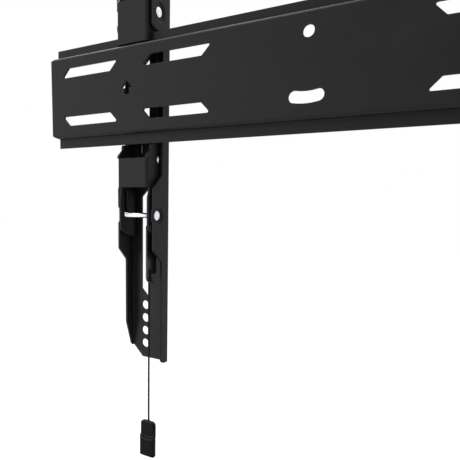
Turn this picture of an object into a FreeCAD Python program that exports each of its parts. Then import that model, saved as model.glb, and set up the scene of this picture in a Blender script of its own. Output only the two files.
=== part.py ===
"""Fixed television wall mount: a folded wall plate and two hook-on strips with pull-cord latches.

Millimetres. X runs along the wall plate, Y from the wall into the room, Z up.
The origin is the centre of the face that lies on the wall.
Each strip hooks over the plate's upper lip. A sprung latch under the lower lip locks it, and
a pull on its cord draws the latch down so that the strip lifts off.
"""
import FreeCAD
import Part
import math
import os

# Wall plate, folded from one sheet
plate_length = 495.0
plate_height = 90.0
plate_web_height = 72.6
plate_depth = 10.4
plate_sheet = 2.0
plate_bend = 1.0
plate_corner_cut = 4.0
plate_corner_height = 2.0
plate_lip_inset = 1.0

# Fixing slots of the wall plate, for M8 or smaller wall screws
wall_slot_width = 8.5
wall_slot_length = 66.0
wall_slot_row = 21.5
outer_slot_x = 200.6
inner_slot_x = 108.6
slot_corner = 1.2

# Levelling hole and the arc slot below it
pivot_hole = 8.5
pivot_height = 21.9
arc_slot_width = 8.5
arc_radius = 43.5
arc_half_angle = 11.5

# Arrow cut-out
arrow_x = 157.5
arrow_tip = 7.6
arrow_head_base = 1.2
arrow_foot = -4.0
arrow_head_width = 12.0
arrow_stem_width = 5.0

# Strip, a folded channel that is open to the wall. Its own X starts at the line strip_x
strip_x = 157.3
strip_height = 428.0
strip_bottom = -244.0
strip_depth = 31.2
strip_sheet = 2.0
strip_bend = 1.0
strip_outer_side = 17.2
strip_inner_side = 24.4
rail_edge = 19.1
outer_end_edge = 25.4
outer_end_rise = 15.5
outer_end_taper = 35.0
inner_end_corner = 5.0
strip_corner_cut = 12.6

# Fixing holes and slots of the strip, for M8 or smaller screen screws
screen_column = -1.5
screen_hole = 8.5
screen_hole_pitch = 12.5
screen_holes_each_end = 4
screen_span = 400.0
screen_bottom_hole = -230.3
long_slot = (-185.5, -82.0)
middle_slot = (-30.0, 32.0)
upper_slot = (54.5, 121.0)

# Ears of the strip, which carry the two pins
outer_ear_edge = 8.5
lower_ear_edge = 6.5
upper_ear_edge = 4.8
lower_ear = (-137.7, -82.9)
upper_ear_top = 90.0
ear_slope = 11.0
lip_notch_height = 47.0
lip_notch_radius = 6.0
ear_corner = 3.0
dimple_radius = 8.4
dimple_depth = 1.4
dimple_draft = 2.0

# Pins, riveted over in the dimples, with the smaller head on the strip's outer side
pin_diameter = 4.6
pin_clearance = 0.1
pin_outer_head = (3.4, 1.0)
pin_inner_head = (4.7, 1.2)
guide_pin_y = 12.2
guide_pin_z = -107.0
hook_pin_y = 13.8
hook_pin_z = 61.7

# Hook bracket and latch slider, both folded to the same width
carrier_width = 32.6
carrier_front = 2.3
carrier_sheet = 2.0
carrier_bend = 0.5
seat_clearance = 0.3

# Hook bracket
hook_bottom = 37.7
hook_front_top = 72.1
hook_top = 76.0
hook_back = 22.0
hook_leg_clearance = 0.4

# Latch slider
latch_front = (-82.5, -57.3)
latch_bottom = -126.6
latch_wall_front = 4.6
latch_back = 26.6
latch_chamfer = (8.7, 7.4)
latch_relief_edge = 6.0
latch_relief_height = 8.5
latch_nose_height = 4.0
latch_rail = (16.3, 22.5)
latch_rail_top = 42.0
latch_shoulder_edge = 8.2
latch_travel = 20.0
latch_corner = 2.0

# Cross pin of the latch, which the return spring pulls
spring_pin_y = 19.5
spring_pin_z = -58.3
spring_pin_diameter = 4.0
spring_pin_head = (3.6, 1.5)

# Return spring and the tab that holds its upper loop
spring_x = 2.0
wire_diameter = 1.2
coil_diameter = 7.0
coil_turns = 8
coil_pitch = 3.6
coil_top = 42.0
loop_clearance = 0.1
tab_height = 52.5
tab_half_width = 2.2
tab_edge_width = 1.8
tab_hole = 2.2
tab_loop_radius = 2.3
tab_loop_sweep = 290.0

# Pull link, riveted inside the latch's inner wall
link_sheet = 1.5
link_top = -112.5
link_bottom = -159.6
link_front = 5.4
link_back = 19.8
link_tip_width = 2.6
link_tip_length = 4.0
link_rivet_y = 9.2
link_rivet_z = -118.0
link_rivet_diameter = 4.0
link_rivet_head = (3.4, 1.2)
cord_eye = 3.0
cord_eye_height = 4.5

# Pull cord and its grip
cord_diameter = 1.8
cord_y = 10.0
grip_top = -298.3
grip_height = 33.0
grip_width = 16.0
grip_back = 11.4
grip_thickness = 3.8
grip_skirt_thickness = 5.6
grip_skirt_height = 18.6
grip_skirt_sag = 2.6
grip_corner = 4.0
grip_edge = 1.0


# Shapes from outlines

def outline(corners):
    """Close a plane outline. Each corner is (u, v, radius) and is rounded when its radius isn't 0."""
    count = len(corners)
    edges = []
    ends = []
    for index, (u, v, radius) in enumerate(corners):
        corner = FreeCAD.Vector(u, v, 0)
        before = corners[index - 1]
        after = corners[(index + 1) % count]
        to_before = (FreeCAD.Vector(before[0], before[1], 0) - corner).normalize()
        to_after = (FreeCAD.Vector(after[0], after[1], 0) - corner).normalize()
        half = to_before.getAngle(to_after) / 2
        if radius <= 0 or abs(half - math.pi / 2) < 1e-6:
            ends.append((corner, corner))
            continue
        reach = radius / math.tan(half)
        first = corner + to_before * reach
        last = corner + to_after * reach
        inward = (to_before + to_after).normalize()
        middle = corner + inward * (radius / math.sin(half) - radius)
        edges.append(Part.Arc(first, middle, last).toShape())
        ends.append((first, last))
    for index in range(count):
        start = ends[index - 1][1]
        stop = ends[index][0]
        if start.distanceToPoint(stop) > 1e-6:
            edges.append(Part.LineSegment(start, stop).toShape())
    return Part.Face(Part.Wire(Part.__sortEdges__(edges)))


def along_x(corners, x_start, x_end):
    """Extrude a (Y, Z) outline along X."""
    face = outline(corners)
    face.transformShape(FreeCAD.Matrix(0, 0, 1, x_start, 1, 0, 0, 0, 0, 1, 0, 0))
    return face.extrude(FreeCAD.Vector(x_end - x_start, 0, 0))


def along_y(corners, y_start, y_end):
    """Extrude an (X, Z) outline along Y."""
    face = outline(corners)
    face.transformShape(FreeCAD.Matrix(1, 0, 0, 0, 0, 0, -1, y_start, 0, 1, 0, 0))
    return face.extrude(FreeCAD.Vector(0, y_end - y_start, 0))


def along_z(corners, z_start, z_end):
    """Extrude an (X, Y) outline along Z."""
    face = outline(corners)
    face.translate(FreeCAD.Vector(0, 0, z_start))
    return face.extrude(FreeCAD.Vector(0, 0, z_end - z_start))


def sharp(*points):
    return [(u, v, 0.0) for u, v in points]


def box(x_range, y_range, z_range):
    size = (x_range[1] - x_range[0], y_range[1] - y_range[0], z_range[1] - z_range[0])
    return Part.makeBox(*size, FreeCAD.Vector(x_range[0], y_range[0], z_range[0]))


def rod_x(radius, x_start, x_end, y, z):
    return Part.makeCylinder(radius, x_end - x_start, FreeCAD.Vector(x_start, y, z), FreeCAD.Vector(1, 0, 0))


def cone_x(radius_start, radius_end, x_start, x_end, y, z):
    """Make a cone along X, whose length may run either way."""
    length = abs(x_end - x_start)
    way = FreeCAD.Vector(1 if x_end > x_start else -1, 0, 0)
    return Part.makeCone(radius_start, radius_end, length, FreeCAD.Vector(x_start, y, z), way)


def folded(path, sheet, bend):
    """Outline a folded sheet from one of its lines, a list of (u, v) with the sheet on its right."""
    outer = [FreeCAD.Vector(u, v, 0) for u, v in path]
    ways = [(b - a).normalize() for a, b in zip(outer, outer[1:])]
    rights = [FreeCAD.Vector(way.y, -way.x, 0) for way in ways]
    near = [(outer[0].x, outer[0].y, 0.0)]
    far = [outer[0] + rights[0] * sheet]
    far_radii = [0.0]
    for index in range(1, len(outer) - 1):
        turn = ways[index - 1].x * ways[index].y - ways[index - 1].y * ways[index].x
        before = rights[index - 1]
        after = rights[index]
        mitre = (before + after).multiply(sheet / (1 + before.dot(after)))
        near.append((outer[index].x, outer[index].y, bend + sheet if turn < 0 else bend))
        far.append(outer[index] + mitre)
        far_radii.append(bend if turn < 0 else bend + sheet)
    near.append((outer[-1].x, outer[-1].y, 0.0))
    far.append(outer[-1] + rights[-1] * sheet)
    far_radii.append(0.0)
    back = [(point.x, point.y, radius) for point, radius in zip(far, far_radii)]
    return near + back[::-1]


def mirrored(shape):
    return shape.mirror(FreeCAD.Vector(0, 0, 0), FreeCAD.Vector(1, 0, 0))


def cut_slot(centre, length, width, lean):
    """Slot outline in (X, Z) whose ends lean by its own width: 1 leans right going up, -1 left."""
    x, z = centre
    half = length / 2
    rise = width / 2
    low = width if lean > 0 else 0.0
    high = width - low
    return [
        (x - half + high, z - rise, slot_corner),
        (x + half - low, z - rise, slot_corner),
        (x + half - high, z + rise, slot_corner),
        (x - half + low, z + rise, slot_corner),
    ]


# Wall plate

def wall_plate():
    web_half = plate_web_height / 2
    lip_half = plate_height / 2
    lip_wall_side = plate_depth - plate_sheet
    section = folded(
        [
            (lip_wall_side, -lip_half),
            (lip_wall_side, -web_half),
            (0, -web_half),
            (0, web_half),
            (lip_wall_side, web_half),
            (lip_wall_side, lip_half),
        ],
        plate_sheet,
        plate_bend,
    )
    plate = along_x(section, -plate_length / 2, plate_length / 2)
    through = (-1.0, plate_depth + 1.0)
    for side in (-1, 1):
        for row in (-1, 1):
            for distance in (outer_slot_x, inner_slot_x):
                centre = (side * distance, row * wall_slot_row)
                lean = -side * row
                slot = cut_slot(centre, wall_slot_length, wall_slot_width, lean)
                plate = plate.cut(along_y(slot, *through))
            plate = plate.cut(web_corner(side, row)).cut(flange_end(side, row))
        plate = plate.cut(along_y(arrow(side * arrow_x), *through))
    hole = Part.makeCylinder(
        pivot_hole / 2, plate_depth + 2, FreeCAD.Vector(0, -1, pivot_height), FreeCAD.Vector(0, 1, 0)
    )
    return plate.cut(hole).cut(arc_slot(through))


def web_corner(side, row):
    """What one corner of the plate's web loses."""
    end = side * plate_length / 2
    edge = row * plate_web_height / 2
    corner = sharp(
        (end + side, edge - row * plate_corner_height),
        (end, edge - row * plate_corner_height),
        (end - side * plate_corner_cut, edge),
        (end - side * plate_corner_cut, edge + row),
        (end + side, edge + row),
    )
    return along_y(corner, -1, plate_sheet)


def flange_end(side, row):
    """What one flange and its lip lose, so that the flange's end slants back to the web."""
    end = side * plate_length / 2
    lip_end = end - side * plate_lip_inset
    slant = sharp(
        (end - side * plate_corner_cut, plate_sheet),
        (lip_end, plate_depth - plate_sheet),
        (lip_end, plate_depth + 1),
        (end + side, plate_depth + 1),
        (end + side, plate_sheet),
    )
    low = plate_web_height / 2 - plate_sheet - plate_bend - 1
    high = plate_height / 2 + 1
    return along_z(slant, *sorted((row * low, row * high)))


def arrow(x):
    head = arrow_head_width / 2
    stem = arrow_stem_width / 2
    return sharp(
        (x, arrow_tip),
        (x - head, arrow_head_base),
        (x - stem, arrow_head_base),
        (x - stem, arrow_foot),
        (x + stem, arrow_foot),
        (x + stem, arrow_head_base),
        (x + head, arrow_head_base),
    )


def arc_slot(y_range):
    """Slot that lets the plate turn about the pivot hole while it is levelled."""
    rise = arc_slot_width / 2
    half = math.radians(arc_half_angle)

    def at(radius, angle):
        return FreeCAD.Vector(radius * math.sin(angle), y_range[0], pivot_height - radius * math.cos(angle))

    edges = []
    for radius in (arc_radius - rise, arc_radius + rise):
        edges.append(Part.Arc(at(radius, -half), at(radius, 0), at(radius, half)).toShape())
    for way in (-1, 1):
        beyond = way * (half + rise / arc_radius)
        first = at(arc_radius - rise, way * half)
        last = at(arc_radius + rise, way * half)
        edges.append(Part.Arc(first, at(arc_radius, beyond), last).toShape())
    face = Part.Face(Part.Wire(Part.__sortEdges__(edges)))
    return face.extrude(FreeCAD.Vector(0, y_range[1] - y_range[0], 0))


# Strip, drawn for the left side with X from its own line

strip_left = -strip_outer_side
strip_right = strip_inner_side
strip_top = strip_bottom + strip_height
channel_middle = (strip_right + strip_left) / 2
carrier_left = channel_middle - carrier_width / 2
carrier_right = channel_middle + carrier_width / 2
pin_spots = ((guide_pin_y, guide_pin_z), (hook_pin_y, hook_pin_z))


def side_profile(lower_edge, upper_edge, end_corners):
    """Side view (Y, Z) of one folded side, given its ears' edges and the (Y, rise, radius) of its ends."""
    foot = [(y, strip_bottom + rise, radius) for y, rise, radius in end_corners]
    head = [(y, strip_top - rise, radius) for y, rise, radius in reversed(end_corners)]
    ears = [
        (rail_edge, lower_ear[0] - ear_slope, ear_corner),
        (lower_edge, lower_ear[0], ear_corner),
        (lower_edge, lower_ear[1], ear_corner),
        (rail_edge, lower_ear[1] + ear_slope, ear_corner),
        (rail_edge, lip_notch_height, 2.0),
        (upper_edge, lip_notch_height, lip_notch_radius),
        (upper_edge, upper_ear_top, ear_corner),
        (rail_edge, upper_ear_top + ear_slope, ear_corner),
    ]
    return [(strip_depth, strip_bottom, 0.0)] + foot + ears + head + [(strip_depth, strip_top, 0.0)]


def strip_side_view():
    """The strip's side view as a solid, whose two halves differ in their ears and ends."""
    outer_end = [
        (strip_depth - strip_sheet - 0.5, 0.0, 0.0),
        (outer_end_edge, outer_end_rise, 2.0),
        (rail_edge, outer_end_taper, 4.0),
    ]
    inner_end = [(rail_edge, 0.0, inner_end_corner)]
    outer = side_profile(outer_ear_edge, outer_ear_edge, outer_end)
    inner = side_profile(lower_ear_edge, upper_ear_edge, inner_end)
    return along_x(outer, strip_left - 1, 0).fuse(along_x(inner, 0, strip_right + 1))


def strip():
    section = folded(
        [
            (strip_left, upper_ear_edge),
            (strip_left, strip_depth),
            (strip_right, strip_depth),
            (strip_right, upper_ear_edge),
        ],
        strip_sheet,
        strip_bend,
    )
    channel = along_z(section, strip_bottom, strip_top)
    side_view = strip_side_view()
    body = channel.common(side_view)
    for z_end, way in ((strip_bottom, 1), (strip_top, -1)):
        corner = sharp(
            (strip_left - 1, z_end - way),
            (strip_left + strip_corner_cut + 1, z_end - way),
            (strip_left - 1, z_end + way * (strip_corner_cut + 1)),
        )
        body = body.cut(along_y(corner, 0, strip_depth + 1))
    body = body.cut(Part.makeCompound(screen_cuts()))
    for pin_y, pin_z in pin_spots:
        body = dimpled(body, side_view, pin_y, pin_z)
    return with_spring_tab(body).removeSplitter()


def screen_cuts():
    """Holes and slots of the strip's web, with the lower end of each slot cut on the slant."""
    cuts = []
    reach = strip_sheet + 2
    start = strip_depth - strip_sheet - 1
    for index in range(screen_holes_each_end):
        step = index * screen_hole_pitch
        for height in (screen_bottom_hole + step, screen_bottom_hole + screen_span - step):
            base = FreeCAD.Vector(screen_column, start, height)
            cuts.append(Part.makeCylinder(screen_hole / 2, reach, base, FreeCAD.Vector(0, 1, 0)))
    left = screen_column - screen_hole / 2
    right = screen_column + screen_hole / 2
    for low, high in (long_slot, middle_slot, upper_slot):
        slot = [
            (left, low + screen_hole, slot_corner),
            (right, low, slot_corner),
            (right, high, slot_corner),
            (left, high - screen_hole, slot_corner),
        ]
        cuts.append(along_y(slot, start, start + reach))
    return cuts


def dimpled(body, side_view, pin_y, pin_z):
    """Press both sides of the strip inward round a pin, so that they meet what the pin carries."""
    narrow = dimple_radius - dimple_draft
    for outer, way in ((strip_left, 1), (strip_right, -1)):
        inner = outer + way * strip_sheet
        floor = inner + way * dimple_depth
        pressed = outer + way * dimple_depth
        swell = cone_x(dimple_radius + 0.6, narrow + 0.6, inner - way * 0.5, floor, pin_y, pin_z)
        body = body.fuse(swell.common(side_view))
        body = body.cut(cone_x(dimple_radius, narrow, outer, pressed, pin_y, pin_z))
        hole = pin_diameter / 2 + pin_clearance
        body = body.cut(rod_x(hole, min(outer, floor) - 1, max(outer, floor) + 1, pin_y, pin_z))
    return body


def with_spring_tab(body):
    """Add the tab that is turned out of the upper slot's foot and holds the spring."""
    web = strip_depth - strip_sheet
    left = spring_x - tab_half_width
    right = spring_x + tab_half_width
    edge = spring_pin_y - tab_hole / 2 - tab_edge_width
    corner = tab_half_width * 0.8
    tab = along_z(
        [(left, web + 0.5, 0.0), (right, web + 0.5, 0.0), (right, edge, corner), (left, edge, corner)],
        tab_height,
        tab_height + strip_sheet,
    )
    base = FreeCAD.Vector(spring_x, spring_pin_y, tab_height - 1)
    return body.fuse(tab).cut(Part.makeCylinder(tab_hole / 2, strip_sheet + 2, base))


def headed_pin(radius, x_left, x_right, heads, y, z):
    """Pin along X between two head seats, with low domed heads of the given (radius, height)."""
    pin = rod_x(radius, x_left, x_right, y, z)
    for seat, way, (head_radius, head_height) in ((x_left, -1, heads[0]), (x_right, 1, heads[1])):
        waist = seat + way * head_height * 0.45
        crown = seat + way * head_height
        rim = rod_x(head_radius, min(seat, waist), max(seat, waist), y, z)
        dome = cone_x(head_radius, head_radius * 0.6, waist, crown, y, z)
        pin = pin.fuse(rim).fuse(dome)
    return pin.removeSplitter()


def strip_pin(y, z):
    left_seat = strip_left + dimple_depth
    right_seat = strip_right - dimple_depth
    return headed_pin(pin_diameter / 2, left_seat, right_seat, (pin_outer_head, pin_inner_head), y, z)


# Hook bracket and latch slider

def carrier(side_corners, front_range, z_range):
    """Folded U that is open to the room: a side view cut from a channel, with a short front."""
    section = folded(
        [
            (carrier_right, strip_depth),
            (carrier_right, carrier_front),
            (carrier_left, carrier_front),
            (carrier_left, strip_depth),
        ],
        carrier_sheet,
        carrier_bend,
    )
    body = along_z(section, *front_range)
    for wall in (carrier_left, carrier_right - carrier_sheet):
        for low, high in ((z_range[0], front_range[0]), (front_range[1], z_range[1])):
            if high > low:
                side = box((wall, wall + carrier_sheet), (carrier_front, strip_depth), (low, high))
                body = body.fuse(side)
    side_view = along_x(side_corners, carrier_left - 1, carrier_right + 1)
    return body.common(side_view).removeSplitter()


def hook_bracket():
    lip_top = plate_height / 2
    lip_wall_side = plate_depth - plate_sheet
    leg_back = lip_wall_side - hook_leg_clearance
    seat = lip_top + seat_clearance
    side = [
        (carrier_front, hook_bottom, 0.0),
        (leg_back, hook_bottom, 1.5),
        (leg_back, seat, 0.8),
        (hook_back, seat, 2.0),
        (hook_back, hook_top, 5.0),
        (carrier_front + 4, hook_top, 3.0),
        (carrier_front, hook_front_top, 0.0),
    ]
    body = carrier(side, (hook_bottom, hook_front_top), (hook_bottom, hook_top))
    hole = pin_diameter / 2 + pin_clearance
    return body.cut(rod_x(hole, carrier_left - 1, carrier_right + 1, hook_pin_y, hook_pin_z))


def latch_slider():
    shoulder = -plate_height / 2 - seat_clearance
    rail_front, rail_back = latch_rail
    nose = latch_front[1] + latch_nose_height
    side = [
        (latch_wall_front, latch_bottom + latch_chamfer[1], 1.0),
        (latch_wall_front + latch_chamfer[0], latch_bottom + 1.5, 2.0),
        (latch_back - 6, latch_bottom, 3.0),
        (latch_back, latch_bottom, 2.0),
        (latch_back, latch_front[0], 4.0),
        (rail_back, latch_front[0] + 8, 4.0),
        (rail_back, latch_rail_top, 2.5),
        (rail_front, latch_rail_top, 2.5),
        (rail_front, shoulder, 1.0),
        (latch_shoulder_edge, shoulder, latch_corner),
        (latch_shoulder_edge, nose + 3.5, 1.0),
        (carrier_front, nose - 2.0, 1.5),
        (carrier_front, latch_front[0], 0.0),
        (latch_relief_edge, latch_front[0], 0.0),
        (latch_relief_edge, latch_front[0] - latch_relief_height * 0.6, 3.0),
        (latch_wall_front, latch_front[0] - latch_relief_height, 3.0),
    ]
    body = carrier(side, latch_front, (latch_bottom, latch_rail_top))
    half = pin_diameter / 2 + seat_clearance
    low = guide_pin_z - half
    high = guide_pin_z + latch_travel + half
    slot = [
        (guide_pin_y - half, low, half - 0.01),
        (guide_pin_y + half, low, half - 0.01),
        (guide_pin_y + half, high, half - 0.01),
        (guide_pin_y - half, high, half - 0.01),
    ]
    body = body.cut(along_x(slot, carrier_left - 1, carrier_right + 1))
    hole = spring_pin_diameter / 2 + pin_clearance
    body = body.cut(rod_x(hole, carrier_left - 1, carrier_right + 1, spring_pin_y, spring_pin_z))
    rivet_hole = link_rivet_diameter / 2 + pin_clearance
    wall = carrier_right - carrier_sheet
    return body.cut(rod_x(rivet_hole, wall - 1, carrier_right + 1, link_rivet_y, link_rivet_z))


def spring_pin():
    return headed_pin(
        spring_pin_diameter / 2,
        carrier_left,
        carrier_right,
        (spring_pin_head, spring_pin_head),
        spring_pin_y,
        spring_pin_z,
    )


# Return spring: a coil with a loop through the tab above and a long leg to the cross pin below

def coil(foot, top):
    """Wound wire as a ribbed sleeve about the spring's axis, one rib to a turn."""
    rim = coil_diameter / 2
    root = rim - wire_diameter / 2
    bore = rim - wire_diameter
    corners = [(bore, foot), (root, foot)]
    pitch = (top - foot) / coil_turns
    for turn in range(coil_turns):
        low = foot + turn * pitch
        corners.append((rim, low + pitch * 0.3))
        corners.append((rim, low + pitch * 0.7))
        corners.append((root, low + pitch))
    corners.append((bore, top))
    points = [FreeCAD.Vector(radius, 0, height) for radius, height in corners]
    face = Part.Face(Part.makePolygon(points + points[:1]))
    return face.revolve(FreeCAD.Vector(0, 0, 0), FreeCAD.Vector(0, 0, 1), 360)


def wire_section(height):
    """Eight-sided section of the wire, lying level on the spring's axis."""
    reach = wire_diameter / 2 / math.cos(math.pi / 8)
    points = []
    for step in range(9):
        turn = (step % 8 + 0.5) * math.pi / 4
        points.append(FreeCAD.Vector(reach * math.cos(turn), reach * math.sin(turn), height))
    return Part.Face(Part.makePolygon(points))


def wire_leg(low, high):
    return wire_section(low).extrude(FreeCAD.Vector(0, 0, high - low))


def wire_loop(radius, height, sweep):
    """Turn the wire about an X axis that lies a radius nearer the wall."""
    centre = FreeCAD.Vector(0, -radius, height)
    return wire_section(height).revolve(centre, FreeCAD.Vector(1, 0, 0), sweep)


def return_spring():
    foot = coil_top - coil_turns * coil_pitch
    tab_middle = tab_height + strip_sheet / 2
    pin_loop = spring_pin_diameter / 2 + loop_clearance + wire_diameter / 2
    plug_radius = (coil_diameter - wire_diameter) / 2
    low_loop = wire_loop(pin_loop, spring_pin_z, 360)
    low_loop.translate(FreeCAD.Vector(0, pin_loop, 0))
    pieces = [
        wire_loop(tab_loop_radius, tab_middle, tab_loop_sweep),
        wire_leg(coil_top - wire_diameter / 2, tab_middle),
        wire_leg(spring_pin_z + pin_loop, foot + wire_diameter / 2),
        low_loop,
    ]
    for end in (coil_top - wire_diameter, foot):
        pieces.append(Part.makeCylinder(plug_radius, wire_diameter, FreeCAD.Vector(0, 0, end)))
    spring = coil(foot, coil_top).multiFuse(pieces)
    spring.translate(FreeCAD.Vector(spring_x, spring_pin_y, 0))
    return spring


# Pull link, cord and grip

def link_span():
    inner_wall = carrier_right - carrier_sheet
    return inner_wall - link_sheet, inner_wall


def cord_x():
    return sum(link_span()) / 2


def pull_link():
    left, right = link_span()
    side = [
        (link_front, link_bottom - link_tip_length, 0.8),
        (link_front + link_tip_width, link_bottom - link_tip_length, 0.8),
        (link_front + link_tip_width, link_bottom, 0.8),
        (link_back, link_bottom, 2.5),
        (link_back, link_top, 3.0),
        (link_front + 6, link_top, 1.5),
        (link_front, link_top - 6, 1.5),
    ]
    plate = along_x(side, left, right)
    rivet_hole = link_rivet_diameter / 2 + pin_clearance
    plate = plate.cut(rod_x(rivet_hole, left - 1, right + 1, link_rivet_y, link_rivet_z))
    return plate.cut(rod_x(cord_eye / 2, left - 1, right + 1, cord_y, link_bottom + cord_eye_height))


def link_rivet():
    left = link_span()[0]
    return headed_pin(
        link_rivet_diameter / 2,
        left,
        carrier_right,
        (link_rivet_head, link_rivet_head),
        link_rivet_y,
        link_rivet_z,
    )


def pull_cord():
    length = link_bottom - grip_top
    return Part.makeCylinder(cord_diameter / 2, length, FreeCAD.Vector(cord_x(), cord_y, grip_top))


def cord_grip():
    """Moulded grip: a flat tag, thicker on its wall side below a curved step."""
    x = cord_x()
    foot = grip_top - grip_height
    half = grip_width / 2
    tag = along_y(
        [
            (x - half, foot, 0.0),
            (x + half, foot, 0.0),
            (x + half, grip_top, grip_corner),
            (x - half, grip_top, grip_corner),
        ],
        grip_back - grip_thickness,
        grip_back,
    )
    step = foot + grip_skirt_height
    front = grip_back - grip_skirt_thickness
    start = FreeCAD.Vector(x - half, 0, step)
    end = FreeCAD.Vector(x + half, 0, step)
    dip = FreeCAD.Vector(x, 0, step - grip_skirt_sag)
    right_foot = FreeCAD.Vector(x + half, 0, foot)
    left_foot = FreeCAD.Vector(x - half, 0, foot)
    rim = [
        Part.Arc(start, dip, end).toShape(),
        Part.LineSegment(end, right_foot).toShape(),
        Part.LineSegment(right_foot, left_foot).toShape(),
        Part.LineSegment(left_foot, start).toShape(),
    ]
    face = Part.Face(Part.Wire(rim))
    face.translate(FreeCAD.Vector(0, front, 0))
    skirt = face.extrude(FreeCAD.Vector(0, grip_skirt_thickness - grip_thickness / 2, 0))
    upright = [edge for edge in skirt.Edges if abs(edge.tangentAt(edge.FirstParameter).z) > 0.99]
    near = [edge for edge in upright if edge.CenterOfMass.y < front + 0.1]
    skirt = skirt.makeFillet(grip_edge, near)
    return tag.fuse(skirt).removeSplitter()


# Build and write

def side_parts():
    """Every piece of the left assembly, with X from the strip's line."""
    return {
        "strip": strip(),
        "hook_bracket": hook_bracket(),
        "hook_pin": strip_pin(hook_pin_y, hook_pin_z),
        "latch_slider": latch_slider(),
        "guide_pin": strip_pin(guide_pin_y, guide_pin_z),
        "spring_pin": spring_pin(),
        "return_spring": return_spring(),
        "pull_link": pull_link(),
        "link_rivet": link_rivet(),
        "pull_cord": pull_cord(),
        "cord_grip": cord_grip(),
    }


def main():
    nodes = {"wall_plate": wall_plate()}
    for name, shape in side_parts().items():
        shape.translate(FreeCAD.Vector(-strip_x, 0, 0))
        nodes["left_" + name] = shape
        nodes["right_" + name] = mirrored(shape)
    os.makedirs("parts", exist_ok=True)
    for name, shape in nodes.items():
        shape.exportStep("parts/" + name + ".step")
        print(name, len(shape.Solids), shape.isValid(), round(shape.Volume, 1), shape.BoundBox)


main()
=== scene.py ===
"""Looks of the fixed wall mount: powder-coated steel, zinc rivets, wound springs, cords and grips."""
import itertools
import math

import bpy
import numpy as np
from mathutils import Matrix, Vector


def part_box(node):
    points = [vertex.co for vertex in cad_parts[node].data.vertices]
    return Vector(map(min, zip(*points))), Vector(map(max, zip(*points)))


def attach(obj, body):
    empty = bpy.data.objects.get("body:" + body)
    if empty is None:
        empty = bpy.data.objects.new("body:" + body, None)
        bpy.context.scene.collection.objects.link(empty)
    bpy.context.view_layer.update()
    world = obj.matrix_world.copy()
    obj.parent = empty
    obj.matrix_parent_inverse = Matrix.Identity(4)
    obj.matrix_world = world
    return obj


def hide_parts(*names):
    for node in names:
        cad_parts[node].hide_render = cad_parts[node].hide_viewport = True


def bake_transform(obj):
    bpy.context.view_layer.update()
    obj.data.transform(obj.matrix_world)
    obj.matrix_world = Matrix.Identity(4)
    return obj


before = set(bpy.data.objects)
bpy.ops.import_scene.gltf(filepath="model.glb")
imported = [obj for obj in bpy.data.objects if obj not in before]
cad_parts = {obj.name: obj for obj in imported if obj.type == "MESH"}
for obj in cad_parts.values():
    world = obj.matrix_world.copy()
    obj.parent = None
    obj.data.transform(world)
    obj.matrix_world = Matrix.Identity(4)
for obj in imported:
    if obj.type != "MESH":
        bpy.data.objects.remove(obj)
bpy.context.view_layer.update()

mm = 0.001
full_turn = 2 * np.pi
sides = ("left", "right")
upward = np.array([0.0, 0.0, 1.0])
surface_map = "surface"


# Objects in the scene

def added(name, data):
    thing = bpy.data.objects.new(name, data)
    bpy.context.scene.collection.objects.link(thing)
    return thing


def set_frame(thing, right, up, back, place):
    """Turns the object's X, Y and Z to right, up and back, and stands it at place."""
    thing.matrix_world = Matrix([*zip(right, up, back, place), (0, 0, 0, 1)])


# Camera, where the photograph was taken from

def point_camera(eye, yaw, pitch, roll, lens, shift):
    """The camera looks along (-sin yaw cos pitch, cos yaw cos pitch, sin pitch), rolled about that line."""
    ahead = np.array([-math.sin(yaw) * math.cos(pitch), math.cos(yaw) * math.cos(pitch), math.sin(pitch)])
    level = np.array([math.cos(yaw), math.sin(yaw), 0.0])
    above = np.cross(level, ahead)
    right = level * math.cos(roll) + above * math.sin(roll)
    up = above * math.cos(roll) - level * math.sin(roll)
    data = bpy.data.cameras.new("photo_camera")
    data.lens = lens
    data.sensor_width = 36.0
    data.shift_x, data.shift_y = shift
    data.clip_start = 10 * mm
    camera = added("photo_camera", data)
    set_frame(camera, right, up, -ahead, eye)
    bpy.context.scene.camera = camera


point_camera(
    eye=(0.12361, -0.35329, -0.09252),
    yaw=math.radians(33.077),
    pitch=math.radians(-8.116),
    roll=math.radians(0.568),
    lens=39.603,
    shift=(0.12, 0.09),
)


# Surfaces

ball_angles = np.radians([20.0, 45.0, 70.0])


def eased(t):
    """From 0 to 1 with t, level at both ends."""
    return t * t * (3 - 2 * t)


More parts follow.
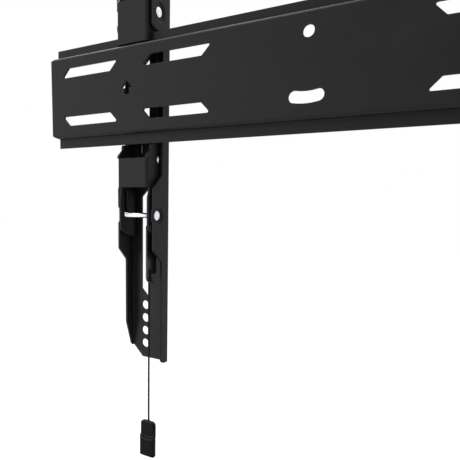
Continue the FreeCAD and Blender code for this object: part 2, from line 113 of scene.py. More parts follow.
def skinned(name, rings, low_pole, high_pole, along):
    """Mesh of a grid of rings. Each ring closes on itself, neighbouring rings are joined by quads, and a
    fan to a pole closes each end. Its UV map is (turn round the ring, along), and its faces point outwards,
    because they are turned over when the volume under them, the sum of a . (b x c) / 6, is negative."""
    rows, count = rings.shape[:2]
    points = np.concatenate([rings.reshape(-1, 3), [low_pole, high_pole]])
    here = np.arange(count)
    there = (here + 1) % count
    start = (np.arange(rows - 1) * count)[:, None]
    above = start + count
    quads = np.stack([start + here, start + there, above + there, above + here], -1).reshape(-1, 4)
    last = (rows - 1) * count
    low_fan = np.stack([np.full(count, rows * count), there, here], -1)
    high_fan = np.stack([np.full(count, rows * count + 1), last + here, last + there], -1)
    fans = np.concatenate([low_fan, high_fan])

    grid = (rows - 1, count, 4)
    turn = np.stack([here, here + 1, here + 1, here], -1) / count
    reach = np.stack([along[:-1], along[:-1], along[1:], along[1:]], -1)
    quad_uv = np.stack([np.broadcast_to(turn, grid), np.broadcast_to(reach[:, None], grid)], -1)
    quad_uv = quad_uv.reshape(-1, 4, 2)
    low_turn = np.stack([here + 0.5, here + 1, here], -1) / count
    high_turn = np.stack([here + 0.5, here, here + 1], -1) / count
    low_uv = np.stack([low_turn, np.full((count, 3), along[0])], -1)
    high_uv = np.stack([high_turn, np.full((count, 3), along[-1])], -1)
    fan_uv = np.concatenate([low_uv, high_uv])

    halves = np.concatenate([quads[:, :3], quads[:, [0, 2, 3]], fans])
    a, b, c = points[halves[:, 0]], points[halves[:, 1]], points[halves[:, 2]]
    if np.einsum("ij,ij->i", a - points[0], np.cross(b - points[0], c - points[0])).sum() < 0:
        quads, quad_uv, fans, fan_uv = quads[:, ::-1], quad_uv[:, ::-1], fans[:, ::-1], fan_uv[:, ::-1]
    mesh = bpy.data.meshes.new(name)
    mesh.from_pydata(points.tolist(), [], quads.tolist() + fans.tolist())
    layer = mesh.uv_layers.new(name=surface_map)
    layer.data.foreach_set("uv", np.concatenate([quad_uv.ravel(), fan_uv.ravel()]).astype(np.float32))
    mesh.polygons.foreach_set("use_smooth", np.ones(len(mesh.polygons), bool))
    mesh.update()
    return added(name, mesh)


def carried_frame(path):
    """Tangents of a path and two directions across it. Each across direction is the one before it after
    the least turn that takes the tangent before to this tangent: a + k x a + k x (k x a) / (1 + s . t)
    with k = s x t, for the tangents s and t."""
    tangents = np.gradient(path, axis=0)
    tangents /= np.linalg.norm(tangents, axis=1, keepdims=True)
    first = np.cross(tangents[0], np.eye(3)[np.abs(tangents[0]).argmin()])
    first /= np.linalg.norm(first)

    def carried(across, pair):
        axis = np.cross(*pair)
        step = np.cross(axis, across)
        return across + step + np.cross(axis, step) / (1 + pair[0] @ pair[1])

    pairs = zip(tangents[:-1], tangents[1:])
    across = np.array(list(itertools.accumulate(pairs, carried, initial=first)))
    return tangents, across, np.cross(tangents, across)


def evenly(path, spacing):
    """The same path with its points at even distances along it, and those distances."""
    reached = np.concatenate([[0.0], np.cumsum(np.linalg.norm(np.diff(path, axis=0), axis=1))])
    wanted = np.linspace(0, reached[-1], max(3, int(round(reached[-1] / spacing)) + 1))
    return np.stack([np.interp(wanted, reached, path[:, i]) for i in range(3)], -1), wanted


def half_ball(middle, outward, ring):
    """Rings of a half ball on a tube's end, towards its pole. The vector outward has the ball's radius."""
    level = middle + outward * np.sin(ball_angles)[:, None]
    return level[:, None] + ring * np.cos(ball_angles)[:, None, None]


def drawn_tube(name, path, radius, spacing, count, relief=None):
    """Round tube along a path: point = path + r (cos a u + sin a v), u and v across the path. Its ends are
    half balls. The relief, a function of (turns, distance), is added to r."""
    path, distance = evenly(path, spacing)
    tangents, across, third = carried_frame(path)
    angle = np.arange(count) / count * full_turn
    circle = np.cos(angle)[:, None] * across[:, None] + np.sin(angle)[:, None] * third[:, None]
    size = np.full((len(path), count), radius)
    if relief is not None:
        size = size + relief(angle[None] / full_turn, distance[:, None])
    round_path = circle * size[..., None]
    low_end = -tangents[0] * radius
    high_end = tangents[-1] * radius
    low = half_ball(path[0], low_end, round_path[0])[::-1]
    high = half_ball(path[-1], high_end, round_path[-1])
    reach = radius * np.sin(ball_angles)
    along = np.concatenate([distance[0] - reach[::-1], distance, distance[-1] + reach])
    rings = np.concatenate([low, path[:, None] + round_path, high])
    return skinned(name, rings, path[0] + low_end, path[-1] + high_end, along)


# Rivets, turned about an X line and headed at both ends

rivet_sides = 56
crown_rows = 15
pit_depth = 0.24
pit_radius = 0.26
groove_depth = 0.07
groove_radius = 0.60
groove_width = 0.06
rim_radii = np.array([0.99, 0.96])
rim_drops = np.array([0.06, 0.10]) * mm
neck_radii = np.array([1.04, 1.0])
neck_drops = np.array([0.10, 0.16]) * mm


def head_profile(shank, head, height):
    """Radii and rises over the seat, from the crown down to the shank: height (1 - (r / R)^4)^0.6 at the
    radius r, less a shallow pit in the middle where the punch closed it and a fine groove round it. Their
    depths are shares of the height, and their radii and the rim's are shares of R."""
    share = np.linspace(0.0, 1.0, crown_rows)[1:]
    dome = height * (1 - share ** 4) ** 0.6
    pit = pit_depth * height * np.exp(-(share / pit_radius) ** 2)
    groove = groove_depth * height * np.exp(-((share - groove_radius) / groove_width) ** 2)
    radii = np.concatenate([share * head, rim_radii * head, neck_radii * shank])
    rise = np.concatenate([dome - pit - groove, -rim_drops, -neck_drops])
    return radii, rise


def headed_rivet(name, x_ends, y, z, shank, heads):
    """Body of revolution about an X line, with a head of its own (radius, height) at each end. The second
    value of its UV map is the share of its head's radius."""
    (low_head, low_height), (high_head, high_height) = heads
    low_radii, low_rise = head_profile(shank, low_head, low_height)
    high_radii, high_rise = head_profile(shank, high_head, high_height)
    seats = (x_ends[0] + low_height, x_ends[1] - high_height)
    x = np.concatenate([seats[0] - low_rise, (seats[1] + high_rise)[::-1]])
    r = np.concatenate([low_radii, high_radii[::-1]])
    angle = np.arange(rivet_sides) / rivet_sides * full_turn
    rings = np.stack([
        np.broadcast_to(x[:, None], (len(x), rivet_sides)),
        y + r[:, None] * np.cos(angle),
        z + r[:, None] * np.sin(angle),
    ], -1)
    pole = 1 - pit_depth
    poles = ((seats[0] - low_height * pole, y, z), (seats[1] + high_height * pole, y, z))
    share = np.concatenate([low_radii / low_head, (high_radii / high_head)[::-1]])
    return skinned(name, rings, *poles, share)


# Return spring, one length of wire, with the source's lengths

wire_radius = 0.6 * mm
coil_radius = 2.9 * mm
coil_foot = 13.2 * mm
coil_top = 42.0 * mm
tab_middle = 53.5 * mm
tab_loop = 2.3 * mm
pin_loop = 2.7 * mm

# Shape of the wire

spring_turns = 22.0
points_in_turn = 28
coil_lead = 1.6 * mm
draw_in_turns = 0.85
hook_swing = 7.5 * mm
hook_sweep = 150.0
loop_sweep = 290.0
wire_spacing = 0.55 * mm
wire_sides = 10


def steps(count):
    """Even steps after 0, up to 1."""
    return np.linspace(0, 1, count)[1:]


def on_axis(low, high, count):
    """Points after low, up to high, on the spring's axis."""
    t = steps(count)
    return np.stack([0 * t, 0 * t, low + (high - low) * t], -1)


def spring_path(x, y, pin_z):
    """Centre line of the wire, from the hook's end under the cross pin to the loop through the tab.
    Hook: a circle about the pin, which a leg on the spring's axis swings out to meet. Coil: (R cos a,
    R sin a, p a / 2 pi), whose first and last turns draw in to the axis. Loop: a circle round the
    tab's edge."""
    sweep = np.radians(np.linspace(hook_sweep, 0.0, num=40))
    hook = np.stack([0 * sweep, pin_loop * np.cos(sweep), pin_z - pin_loop * np.sin(sweep)], -1)
    t = steps(count=24)
    swing = np.stack([0 * t, pin_loop * (1 - eased(t)), pin_z + hook_swing * t], -1)
    leg_top = coil_foot - coil_lead
    leg = on_axis(swing[-1, 2], leg_top, count=60)
    t = steps(int(spring_turns * points_in_turn))
    angle = full_turn * spring_turns * t
    radius = coil_radius * eased(np.clip(np.minimum(t, 1 - t) * spring_turns / draw_in_turns, 0, 1))
    rise = leg_top + (coil_top + coil_lead - leg_top) * t
    coil = np.stack([radius * np.cos(angle), radius * np.sin(angle), rise], -1)
    neck = on_axis(coil[-1, 2], tab_middle, count=24)
    sweep = np.radians(np.linspace(0.0, loop_sweep, num=70))[1:]
    loop = np.stack([0 * sweep, tab_loop * (np.cos(sweep) - 1), tab_middle + tab_loop * np.sin(sweep)], -1)
    return np.concatenate([hook, swing, leg, coil, neck, loop]) + np.array([x, y, 0.0])


# Cord and link, with the source's lengths

cord_diameter = 1.8 * mm
cord_length = 138.7 * mm
cord_y = 10.0 * mm
eye_height = 4.5 * mm
link_thickness = 1.5 * mm

# Braid and knot

braid_strands = 4
braid_pitch = 5.2 * mm
braid_depth = 0.10 * mm
braid_spacing = 0.2 * mm
braid_sides = 24
link_gap = 0.08 * mm
eye_play = 0.25 * mm
loop_lead = 4.0 * mm
knot_gap = 0.6 * mm
knot_height = 5.2 * mm
knot_turns = 2.5
knot_tightening = 1.15
lay_in = 6
tail_length = 2.2 * mm
tail_droop = 1.1 * mm


def braid_relief(turns, distance):
    """Two sets of four strands wind opposite ways and pass over each other in turn: each strand is
    |cos|-shaped across, and a checker of the two phases says which set lies on top."""
    right_hand = braid_strands * turns + braid_strands * distance / braid_pitch
    left_hand = braid_strands * turns - braid_strands * distance / braid_pitch
    over = 0.5 + 0.5 * np.cos(np.pi * (right_hand + left_hand)) * np.cos(np.pi * (right_hand - left_hand))
    strand = over * np.abs(np.cos(np.pi * right_hand)) + (1 - over) * np.abs(np.cos(np.pi * left_hand))
    return braid_depth * (strand - 1)


def braided_tube(name, path):
    return drawn_tube(name, path, cord_diameter / 2, braid_spacing, braid_sides, braid_relief)


def route(name, points):
    """The cord's line: a NURBS curve of order 3 through its end points, with no thickness."""
    curve = bpy.data.curves.new(name, "CURVE")
    curve.dimensions = "3D"
    spline = curve.splines.new("NURBS")
    spline.points.add(len(points) - 1)
    spline.points.foreach_set("co", np.append(points, np.ones((len(points), 1)), axis=1).ravel())
    spline.order_u = 3
    spline.use_endpoint_u = True
    holder = added(name, curve)
    bpy.context.view_layer.update()
    line = bpy.data.meshes.new_from_object(holder.evaluated_get(bpy.context.evaluated_depsgraph_get()))
    path = np.zeros(len(line.vertices) * 3)
    line.vertices.foreach_get("co", path)
    bpy.data.objects.remove(holder)
    return path.reshape(-1, 3)


def knot_path(x, y, edge_z):
    """Loop through the eye and a barrel knot under it: up one face of the link, a half circle through the
    eye, down the other face, then two and a half helix turns about the standing cord and a short tail."""
    radius = cord_diameter / 2
    off = link_thickness / 2 + radius + link_gap
    bend_z = edge_z + eye_height + eye_play - off
    t = np.linspace(0, 1, num=24)
    rise = np.stack([
        off * eased(t), 0 * t, edge_z - loop_lead + (bend_z - edge_z + loop_lead) * t,
    ], -1)
    sweep = np.radians(np.linspace(0, 180, num=24))[1:]
    bend = np.stack([off * np.cos(sweep), 0 * sweep, bend_z + off * np.sin(sweep)], -1)
    t = steps(count=10)
    fall = np.stack([-off + 0 * t, 0 * t, bend_z + (edge_z - knot_gap - bend_z) * t], -1)
    t = steps(count=110)
    angle = np.pi + full_turn * knot_turns * (t ** knot_tightening)
    lay = off + (2 * radius - off) * np.clip(t * lay_in, 0, 1)
    wrap = np.stack([lay * np.cos(angle), lay * np.sin(angle), edge_z - knot_gap - knot_height * t], -1)
    t = steps(count=12)[:, None]
    away = wrap[-1] - wrap[-2]
    away /= np.linalg.norm(away)
    tail = wrap[-1] + away * tail_length * t - upward * tail_droop * t ** 2
    return np.concatenate([rise, bend, fall, wrap, tail]) + np.array([x, y, 0.0])


# Grip, one moulding, with the source's thicknesses and shoulder

grip_thickness = 3.8 * mm
grip_foot_thickness = 5.6 * mm
grip_shoulder = 4.0 * mm

# Cord and grip as the photo has them, against the source

cord_offset = 0.4 * mm
grip_foot_rise = 0.2 * mm
grip_top_rise = 1.1 * mm
grip_step_height = 21.2 * mm
grip_step_sag = 2.3 * mm
grip_ramp = 2.3 * mm
grip_ramp_growth = 0.2
grip_ramp_easing = 0.28

# Shape of the grip

grip_sides = 96
grip_power = 5.0
grip_rows = ((0.0, 0.5, 4), (0.9, 12.0, 12), (12.2, 21.6, 54), (22.1, 28.6, 8))
shoulder_rows = np.radians(np.linspace(4, 90, num=22))
grip_foot_edge = 0.5 * mm
grip_top_edge = 1.5 * mm
parting_height = 0.05 * mm
parting_width = 0.055
hole_play = 0.15 * mm
top_shares = np.array([0.8, 0.55, 0.3, 0.12])[:, None]
well_depths = np.array([0.0, 0.12, 0.3, 1.8])[:, None] * mm
well_flare = np.array([1.10, 1.03, 1.0, 0.98])[:, None]
well_bottom = 1.9 * mm

# Painted highlights of the grip: its step's borders, shoulders and top

highlight_line_width = 0.5 * mm
highlight_side_start = 0.7
highlight_side_fade = 0.2
shoulder_highlight_depth = 1.6 * mm
shoulder_highlight_fade = 1.4 * mm


def rounding(past, radius):
    """How far a quarter circle has turned in at the distance past its start: R - (R^2 - d^2)^0.5."""
    return radius - np.sqrt(np.clip(radius ** 2 - np.clip(past, 0, radius) ** 2, 0, None))


def moulded_grip(name, low, high):
    """Rounded slab: the ring at a height is the superellipse (w sgn(cos a) |cos a|^(2/n), t sgn(sin a)
    |sin a|^(2/n)). Its wall side ramps out below a line that sags in the middle, while its back stays flat,
    its shoulders are quarter circles, a fine parting line runs down both narrow sides, and the cord's hole
    is sunk in its top. Its point attribute for the painted highlight is 1 on the ramp's two borders, on the
    shoulders and on the top."""
    middle = (low + high) / 2
    back = high[1]
    height = high[2] - low[2]
    half_width = (high[0] - low[0]) / 2
    angle = (np.arange(grip_sides) + 0.5) / grip_sides * full_turn
    c = np.sign(np.cos(angle)) * np.abs(np.cos(angle)) ** (2 / grip_power)
    s = np.sign(np.sin(angle)) * np.abs(np.sin(angle)) ** (2 / grip_power)
    body = np.concatenate([np.linspace(*row) for row in grip_rows]) * mm
    crown = height - grip_shoulder + grip_shoulder * np.sin(shoulder_rows)
    z = np.concatenate([body, crown])[:, None]

    step_line = grip_step_height - grip_step_sag * (1 - c ** 2)
    ramp = grip_ramp * (1 + grip_ramp_growth * c ** 2)
    share = np.clip((step_line - z) / ramp, 0, 1)
    out = (1 - grip_ramp_easing) * share + grip_ramp_easing * eased(share)
    t = (grip_thickness + (grip_foot_thickness - grip_thickness) * out) / 2
    centre_y = back - t
    foot_edge = rounding(grip_foot_edge - z, grip_foot_edge)
    w = half_width - foot_edge - rounding(z - (height - grip_shoulder), grip_shoulder)
    t = t - foot_edge - rounding(z - (height - grip_top_edge), grip_top_edge)
    parting = parting_height * np.exp(-(s / parting_width) ** 2)
    x = (w - parting_height + parting) * c
    y = centre_y + t * s

    hole = cord_diameter / 2 + hole_play
    hole_x = hole * np.cos(angle)
    hole_y = cord_y + hole * np.sin(angle)
    top_x = top_shares * x[-1] + (1 - top_shares) * hole_x
    top_y = top_shares * y[-1] + (1 - top_shares) * hole_y
    well_x = hole_x * well_flare
    well_y = cord_y + (hole_y - cord_y) * well_flare
    rings = np.concatenate([
        np.stack([x, y, np.broadcast_to(z, x.shape)], -1),
        np.stack([top_x, top_y, np.full(top_x.shape, height)], -1),
        np.stack([well_x, well_y, np.broadcast_to(height - well_depths, well_x.shape)], -1),
    ])
    rings = rings + np.array([middle[0], 0.0, low[2]])
    along = np.concatenate([z[:, 0], np.full(len(top_x) + len(well_x), height)])
    poles = ((middle[0], middle[1], low[2]), (middle[0], cord_y, high[2] - well_bottom))
    grip = skinned(name, rings, *poles, along)

    # painted highlight: two thin lines on the wall side along the ramp's borders, and the shoulders
    borders = np.exp(-((z - step_line) / highlight_line_width) ** 2)
    borders += np.exp(-((z - step_line + ramp) / highlight_line_width) ** 2)
    wall_side = np.clip((-s - highlight_side_start) / highlight_side_fade, 0, 1)
    shoulders = np.clip((z - height + shoulder_highlight_depth) / shoulder_highlight_fade, 0, 1)
    painted_highlight = borders * wall_side + shoulders
    # the top takes the painted highlight in full, the cord's well and the poles none
    values = np.concatenate([painted_highlight.ravel(), np.ones(top_x.size), np.zeros(well_x.size + len(poles))])
    attribute = grip.data.attributes.new("painted_highlight", "FLOAT", "POINT")
    attribute.data.foreach_set("value", values.astype(np.float32))
    return grip


# Nodes, and the places of a Mix node's colour sockets

mix_first = 6
mix_second = 7
mix_result = 2


def node_group(name, inputs, outputs):
    group = bpy.data.node_groups.new(name, "ShaderNodeTree")
    for label, kind, value in inputs:
        group.interface.new_socket(name=label, in_out="INPUT", socket_type=kind).default_value = value
    for label, kind in outputs:
        group.interface.new_socket(name=label, in_out="OUTPUT", socket_type=kind)
    return group, group.nodes.new("NodeGroupInput").outputs, group.nodes.new("NodeGroupOutput").inputs


def feed(tree, value, socket):
    """Joins the value to the socket where it is a socket too, and sets the socket to it where it isn't."""
    if isinstance(value, bpy.types.NodeSocket):
        tree.links.new(value, socket)
    elif value is not None:
        socket.default_value = value


def math_node(tree, operation, first, second, clamp=False):
    node = tree.nodes.new("ShaderNodeMath")
    node.operation = operation
    node.use_clamp = clamp
    feed(tree, first, node.inputs[0])
    feed(tree, second, node.inputs[1])
    return node.outputs[0]


def noise_node(tree, vector, scale, detail):
    node = tree.nodes.new("ShaderNodeTexNoise")
    feed(tree, detail, node.inputs["Detail"])
    feed(tree, vector, node.inputs["Vector"])
    feed(tree, scale, node.inputs["Scale"])
    return node.outputs["Fac"]


def range_node(tree, value, low, high):
    """From 0 to 1 as the value goes from low to high."""
    node = tree.nodes.new("ShaderNodeMapRange")
    feed(tree, low, node.inputs["From Min"])
    feed(tree, high, node.inputs["From Max"])
    feed(tree, value, node.inputs["Value"])
    return node


def mixed(tree, share, first, second):
    node = tree.nodes.new("ShaderNodeMix")
    node.data_type = "RGBA"
    feed(tree, share, node.inputs[0])
    feed(tree, first, node.inputs[mix_first])
    feed(tree, second, node.inputs[mix_second])
    return node.outputs[mix_result]


def bumped(tree, height, normal, distance):
    node = tree.nodes.new("ShaderNodeBump")
    feed(tree, distance, node.inputs["Distance"])
    feed(tree, height, node.inputs["Height"])
    feed(tree, normal, node.inputs["Normal"])
    return node.outputs["Normal"]


def object_place(tree):
    return tree.nodes.new("ShaderNodeTexCoord").outputs["Object"]


def surface_place(tree):
    node = tree.nodes.new("ShaderNodeUVMap")
    node.uv_map = surface_map
    return node.outputs["UV"]


# Grain, and rounded edges with a painted highlight, shared by the finishes

grain_share = 0.45
noise_range = (0.36, 0.64)
edge_highlight_noise_scale = 420.0
edge_highlight_noise_contrast = 6.0


def make_surface_grain():
    """Fine grain over broad patches: the grain is the height, and both together shift the roughness and
    the colour, from the dark one to the pale one."""
    group, given, made = node_group(
        "surface_grain",
        [
            ("Dark", "NodeSocketColor", (0.01, 0.01, 0.01, 1)),
            ("Pale", "NodeSocketColor", (0.02, 0.02, 0.02, 1)),
            ("Grain Scale", "NodeSocketFloat", 900.0),
            ("Patch Scale", "NodeSocketFloat", 30.0),
            ("Roughness Low", "NodeSocketFloat", 0.4),
            ("Roughness High", "NodeSocketFloat", 0.5),
        ],
        [("Color", "NodeSocketColor"), ("Roughness", "NodeSocketFloat"), ("Height", "NodeSocketFloat")],
    )
    place = object_place(group)
    grain = noise_node(group, place, given["Grain Scale"], detail=3.0)
    patch = noise_node(group, place, given["Patch Scale"], detail=4.0)
    fine = math_node(group, "MULTIPLY", grain, grain_share)
    broad = math_node(group, "MULTIPLY", patch, 1 - grain_share)
    both = math_node(group, "ADD", fine, broad)
    tint = range_node(group, both, *noise_range)
    rough = range_node(group, both, *noise_range)
    feed(group, given["Roughness Low"], rough.inputs["To Min"])
    feed(group, given["Roughness High"], rough.inputs["To Max"])
    feed(group, mixed(group, tint.outputs[0], given["Dark"], given["Pale"]), made["Color"])
    feed(group, rough.outputs[0], made["Roughness"])
    feed(group, grain, made["Height"])
    return group


def make_edge_rounding_and_highlight():
    """The normal of an edge that is rounded by a small radius, and a mask that grows with how far that
    normal turns from the flat face's: 1 - n . m, broken up by noise. The finishes paint a highlight with
    that mask."""
    group, given, made = node_group(
        "edge_rounding_and_highlight",
        [("Radius", "NodeSocketFloat", 0.4 * mm), ("Amount", "NodeSocketFloat", 1.0)],
        [("Normal", "NodeSocketVector"), ("Edge Highlight", "NodeSocketFloat")],
    )
    bevel = group.nodes.new("ShaderNodeBevel")
    bevel.samples = 6
    feed(group, given["Radius"], bevel.inputs["Radius"])
    dot = group.nodes.new("ShaderNodeVectorMath")
    dot.operation = "DOT_PRODUCT"
    feed(group, bevel.outputs["Normal"], dot.inputs[0])
    feed(group, group.nodes.new("ShaderNodeNewGeometry").outputs["Normal"], dot.inputs[1])
    # the mask for the painted edge highlight
    turned = math_node(group, "SUBTRACT", 1.0, dot.outputs["Value"])
    amount = math_node(group, "MULTIPLY", turned, given["Amount"])
    broken = noise_node(group, object_place(group), edge_highlight_noise_scale, detail=3.0)
    contrast = math_node(group, "MULTIPLY", broken, edge_highlight_noise_contrast)
    feed(group, bevel.outputs["Normal"], made["Normal"])
    feed(group, math_node(group, "MULTIPLY", amount, contrast, clamp=True), made["Edge Highlight"])
    return group


surface_grain = make_surface_grain()
edge_rounding_and_highlight = make_edge_rounding_and_highlight()


# Finishes

def placed(tree, group, **values):
    node = tree.nodes.new("ShaderNodeGroup")
    node.node_tree = group
    for label, value in values.items():
        node.inputs[label.replace("_", " ").title()].default_value = value
    return node.outputs


def finish_base(name, **sockets):
    material = bpy.data.materials.new(name)
    material.use_nodes = True
    shader = material.node_tree.nodes["Principled BSDF"]
    for label, value in sockets.items():
        shader.inputs[label.replace("_", " ")].default_value = value
    return material, material.node_tree, shader.inputs


def finish_with(tree, shader, colour, roughness, normal):
    feed(tree, colour, shader["Base Color"])
    feed(tree, roughness, shader["Roughness"])
    feed(tree, normal, shader["Normal"])


def coated_steel(name, dark, pale, edge_highlight_colour, grain, depth, rough, edge_radius, edge_highlight_amount, specular):
    """Coated sheet: grained colour and gloss, and rounded edges with a painted highlight, a little paler.
    """
    material, tree, shader = finish_base(name, Specular_IOR_Level=specular)
    look = placed(
        tree, surface_grain, dark=dark, pale=pale, grain_scale=grain, patch_scale=26.0,
        roughness_low=rough[0], roughness_high=rough[1],
    )
    edge = placed(tree, edge_rounding_and_highlight, radius=edge_radius, amount=edge_highlight_amount)
    # painted highlight: the rounded edges are mixed towards a paler colour
    colour = mixed(tree, edge["Edge Highlight"], look["Color"], edge_highlight_colour)
    normal = bumped(tree, look["Height"], edge["Normal"], depth)
    finish_with(tree, shader, colour, look["Roughness"], normal)
    return material


def bright_metal(name, dark, pale, line_scale, line_depth, rough, rim=None, rim_shade_colour=None):
    """Plated or drawn metal: fine lines that follow the piece, from noise over its UV map's second value.
    Between the two values of rim, shares of a rivet head's radius, the metal darkens to a painted shade."""
    material, tree, shader = finish_base(name, Metallic=1.0)
    look = placed(
        tree, surface_grain, dark=dark, pale=pale, grain_scale=2200.0, patch_scale=320.0,
        roughness_low=rough[0], roughness_high=rough[1],
    )
    apart = tree.nodes.new("ShaderNodeSeparateXYZ")
    feed(tree, surface_place(tree), apart.inputs[0])
    lines = tree.nodes.new("ShaderNodeTexNoise")
    lines.noise_dimensions = "1D"
    lines.inputs["Detail"].default_value = 3.0
    lines.inputs["Scale"].default_value = line_scale
    feed(tree, apart.outputs["Y"], lines.inputs["W"])
    colour = look["Color"]
    if rim is not None:
        # painted shade round the rivet head's rim, where it meets the sheet
        rim_shade = range_node(tree, apart.outputs["Y"], *rim)
        rim_shade.interpolation_type = "SMOOTHSTEP"
        colour = mixed(tree, rim_shade.outputs[0], colour, rim_shade_colour)
    normal = bumped(tree, lines.outputs["Fac"], None, line_depth)
    finish_with(tree, shader, colour, look["Roughness"], normal)
    return material


def braided_cord():
    """Black braid: its strands' crossings come from the tube's relief, and fine fibre lines follow the
    UV map, close together along the cord and longer across it."""
    material, tree, shader = finish_base("black_cord", Specular_IOR_Level=0.12)
    look = placed(
        tree, surface_grain, dark=(0.003, 0.003, 0.0034, 1), pale=(0.008, 0.008, 0.0085, 1),
        grain_scale=3500.0, patch_scale=600.0, roughness_low=0.62, roughness_high=0.82,
    )
    stretch = tree.nodes.new("ShaderNodeMapping")
    stretch.inputs["Scale"].default_value = (40.0, 9000.0, 1.0)
    feed(tree, surface_place(tree), stretch.inputs["Vector"])
    fibres = noise_node(tree, stretch.outputs["Vector"], scale=1.0, detail=2.0)
    finish_with(tree, shader, look["Color"], look["Roughness"], bumped(tree, fibres, None, 0.04 * mm))
    return material


def moulded_plastic():
    """Dull black plastic, with a painted highlight on its edges and where its point attribute marks one."""
    material, tree, shader = finish_base("black_plastic", Specular_IOR_Level=0.06)
    look = placed(
        tree, surface_grain, dark=(0.0025, 0.0025, 0.0028, 1), pale=(0.0045, 0.0045, 0.0048, 1),
        grain_scale=2600.0, patch_scale=140.0, roughness_low=0.42, roughness_high=0.56,
    )
    edge = placed(tree, edge_rounding_and_highlight, radius=0.3 * mm, amount=0.3)
    # painted highlight on the rounded edges
    edge_highlighted = mixed(tree, edge["Edge Highlight"], look["Color"], (0.009, 0.009, 0.0095, 1))
    # painted highlight where the grip's point attribute says, on the step's borders, shoulders and top
    painted_highlight = tree.nodes.new("ShaderNodeAttribute")
    painted_highlight.attribute_name = "painted_highlight"
    share = math_node(tree, "MULTIPLY", painted_highlight.outputs["Fac"], 0.8, clamp=True)
    colour = mixed(tree, share, edge_highlighted, (0.032, 0.032, 0.034, 1))
    normal = bumped(tree, look["Height"], edge["Normal"], 0.018 * mm)
    finish_with(tree, shader, colour, look["Roughness"], normal)
    return material


# Each coat's edge colour is the paler colour of a painted highlight on its rounded edges
powder_coat = coated_steel(
    "black_powder_coat",
    dark=(0.0120, 0.0120, 0.0127, 1),
    pale=(0.0155, 0.0155, 0.0163, 1),
    edge_highlight_colour=(0.022, 0.022, 0.023, 1),
    grain=950.0,
    depth=0.012 * mm,
    rough=(0.40, 0.50),
    edge_radius=0.45 * mm,
    edge_highlight_amount=0.5,
    specular=0.10,
)
black_plate = coated_steel(
    "black_plated_steel",
    dark=(0.007, 0.007, 0.0075, 1),
    pale=(0.011, 0.011, 0.0115, 1),
    edge_highlight_colour=(0.03, 0.03, 0.031, 1),
    grain=1500.0,
    depth=0.005 * mm,
    rough=(0.26, 0.36),
    edge_radius=0.25 * mm,
    edge_highlight_amount=0.8,
    specular=0.30,
)
zinc = bright_metal(
    "zinc_plated_steel",
    dark=(0.66, 0.69, 0.74, 1),
    pale=(0.84, 0.87, 0.92, 1),
    line_scale=26.0,
    line_depth=0.02 * mm,
    rough=(0.16, 0.30),
    # the rim colour is a painted shade on the heads' rims
    rim=(0.80, 0.97),
    rim_shade_colour=(0.06, 0.06, 0.065, 1),
)
spring_wire = bright_metal(
    "spring_steel",
    dark=(0.055, 0.055, 0.058, 1),
    pale=(0.095, 0.095, 0.100, 1),
    line_scale=900.0,
    line_depth=0.004 * mm,
    rough=(0.26, 0.40),
)
cord_braid = braided_cord()
grip_plastic = moulded_plastic()


# Pieces of both sides

outer_head = (3.4 * mm, 1.0 * mm)
inner_head = (4.5 * mm, 1.2 * mm)
spring_pin_head = (3.6 * mm, 1.5 * mm)
link_rivet_head = (3.4 * mm, 1.2 * mm)
pin_shank = 2.3 * mm
rivet_shank = 2.0 * mm
rivets = {
    "hook_pin": ("strip", pin_shank, (outer_head, inner_head), zinc, "zinc_plated_steel"),
    "guide_pin": ("strip", pin_shank, (outer_head, inner_head), zinc, "zinc_plated_steel"),
    "spring_pin": ("latch", rivet_shank, (spring_pin_head,) * 2, zinc, "zinc_plated_steel"),
    "link_rivet": ("latch", rivet_shank, (link_rivet_head,) * 2, black_plate, "black_plated_steel"),
}


def dressed(piece, material):
    piece.data.materials.clear()
    piece.data.materials.append(material)


def box_middle(node):
    low, high = (np.array(corner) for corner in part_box(node))
    return (low + high) / 2


def stand_in(piece, node, material, body=None):
    """The piece takes the place of a CAD node, in the same finish, and rides on the body where one is
    given."""
    dressed(piece, material)
    dressed(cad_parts[node], material)
    if body is not None:
        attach(piece, body)
    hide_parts(node)


dressed(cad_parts["wall_plate"], powder_coat)
for side in sides:
    latch = side + "_latch"
    for name in ("strip", "hook_bracket", "latch_slider"):
        dressed(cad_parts[side + "_" + name], powder_coat)
    dressed(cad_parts[side + "_pull_link"], black_plate)

    for name, (body, shank, heads, material, slot) in rivets.items():
        node = side + "_" + name
        low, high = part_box(node)
        x_ends = (low.x, high.x)
        side_heads = heads if side == "left" else heads[::-1]
        rivet = headed_rivet(node + "_rivet", x_ends, *box_middle(node)[1:], shank, side_heads)
        stand_in(rivet, node, material, body=side + "_" + body)

    x = box_middle(side + "_return_spring")[0]
    y, pin_z = box_middle(side + "_spring_pin")[1:]
    wire_line = spring_path(x, y, pin_z)
    wire = drawn_tube(side + "_wound_spring", wire_line, wire_radius, wire_spacing, wire_sides)
    stand_in(wire, side + "_return_spring", spring_wire)
    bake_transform(wire)

    cord_low, cord_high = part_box(side + "_pull_cord")
    knot_x, y = box_middle(side + "_pull_cord")[:2]
    outward = np.array([-cord_offset if side == "left" else cord_offset, 0.0, 0.0])
    x = knot_x + outward[0]
    line = route(side + "_cord_route", np.array([
        (x, y, cord_high.z), (x, y, cord_high.z - 0.5 * cord_length), (x, y, cord_low.z),
    ]))
    cord = braided_tube(side + "_braided_cord", line)
    stand_in(cord, side + "_pull_cord", cord_braid, body=latch)

    knot = braided_tube(side + "_cord_knot", knot_path(knot_x, y, cord_high.z))
    dressed(knot, cord_braid)
    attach(knot, latch)

    grip_low, grip_high = (np.array(corner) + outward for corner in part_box(side + "_cord_grip"))
    grip_low = grip_low + grip_foot_rise * upward
    grip_high = grip_high + grip_top_rise * upward
    grip = moulded_grip(side + "_moulded_grip", grip_low, grip_high)
    stand_in(grip, side + "_cord_grip", grip_plastic, body=latch)


# Floor, world and lamps

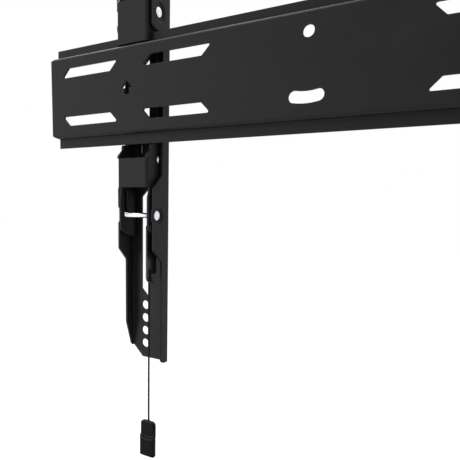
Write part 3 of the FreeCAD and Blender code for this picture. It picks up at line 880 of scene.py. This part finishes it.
floor_height = -0.60
floor_half = 9.0
floor_light = 0.67
lamps_light = 0.28
lamps_reach = 1.5
world_light = 0.6
lamp_target = np.array([0.0, 0.0, -0.07])


def shown_white(tree):
    """1 for what the camera sees, straight or through a gloss or glass ray, and 0 for other light."""
    rays = tree.nodes.new("ShaderNodeLightPath").outputs
    gloss = math_node(tree, "MAXIMUM", rays["Is Glossy Ray"], rays["Is Transmission Ray"])
    return math_node(tree, "MAXIMUM", rays["Is Camera Ray"], gloss)


def pale_floor(height, half):
    """Its own light for the camera, floor_light - lamps_light / (1 + (r / lamps_reach)^2)^2 at the distance
    r, makes up for the lamps' falling light, so that it shows white all over and still keeps the shadow."""
    mesh = bpy.data.meshes.new("pale_floor")
    corners = [(-half, -half, height), (half, -half, height), (half, half, height), (-half, half, height)]
    mesh.from_pydata(corners, [], [[0, 1, 2, 3]])
    floor = added("pale_floor", mesh)
    material, tree, shader = finish_base("pale_floor", Base_Color=(0.55, 0.55, 0.55, 1), Roughness=0.9)
    shader["Specular IOR Level"].default_value = 0.0
    shader["Emission Color"].default_value = (1, 1, 1, 1)
    length = tree.nodes.new("ShaderNodeVectorMath")
    length.operation = "LENGTH"
    feed(tree, object_place(tree), length.inputs[0])
    reach = math_node(tree, "DIVIDE", length.outputs["Value"], lamps_reach)
    spread = math_node(tree, "ADD", math_node(tree, "MULTIPLY", reach, reach), 1.0)
    lamps = math_node(tree, "DIVIDE", lamps_light, math_node(tree, "MULTIPLY", spread, spread))
    own = math_node(tree, "SUBTRACT", floor_light, lamps)
    feed(tree, math_node(tree, "MULTIPLY", shown_white(tree), own), shader["Emission Strength"])
    dressed(floor, material)


def studio_world():
    """White for the camera, and a plain lower level as light."""
    world = bpy.data.worlds.new("studio")
    bpy.context.scene.world = world
    world.use_nodes = True
    tree = world.node_tree
    sky = tree.nodes["Background"].inputs
    sky["Color"].default_value = (1, 1, 1, 1)
    share = math_node(tree, "MULTIPLY", shown_white(tree), 1 - world_light)
    feed(tree, math_node(tree, "ADD", share, world_light), sky["Strength"])


def soft_lamp(name, place, size, power):
    data = bpy.data.lights.new(name, "AREA")
    data.shape = "SQUARE"
    data.size = size
    data.energy = power
    back = np.array(place) - lamp_target
    back /= np.linalg.norm(back)
    side = np.cross(upward, back)
    side /= np.linalg.norm(side)
    set_frame(added(name, data), side, np.cross(back, side), back, place)


pale_floor(floor_height, floor_half)
studio_world()
soft_lamp("key_lamp", place=(-1.2, -1.5, 0.15), size=1.4, power=12.0)
soft_lamp("top_lamp", place=(-0.75, 0.0, 1.25), size=1.0, power=26.0)
soft_lamp("low_lamp", place=(-0.85, -0.95, -0.44), size=0.24, power=1.6)
soft_lamp("side_lamp", place=(1.7, -0.9, 0.4), size=1.2, power=3.0)
soft_lamp("back_lamp", place=(0.4, 1.5, 1.5), size=1.4, power=5.0)
bpy.context.scene.view_settings.view_transform = "Standard"
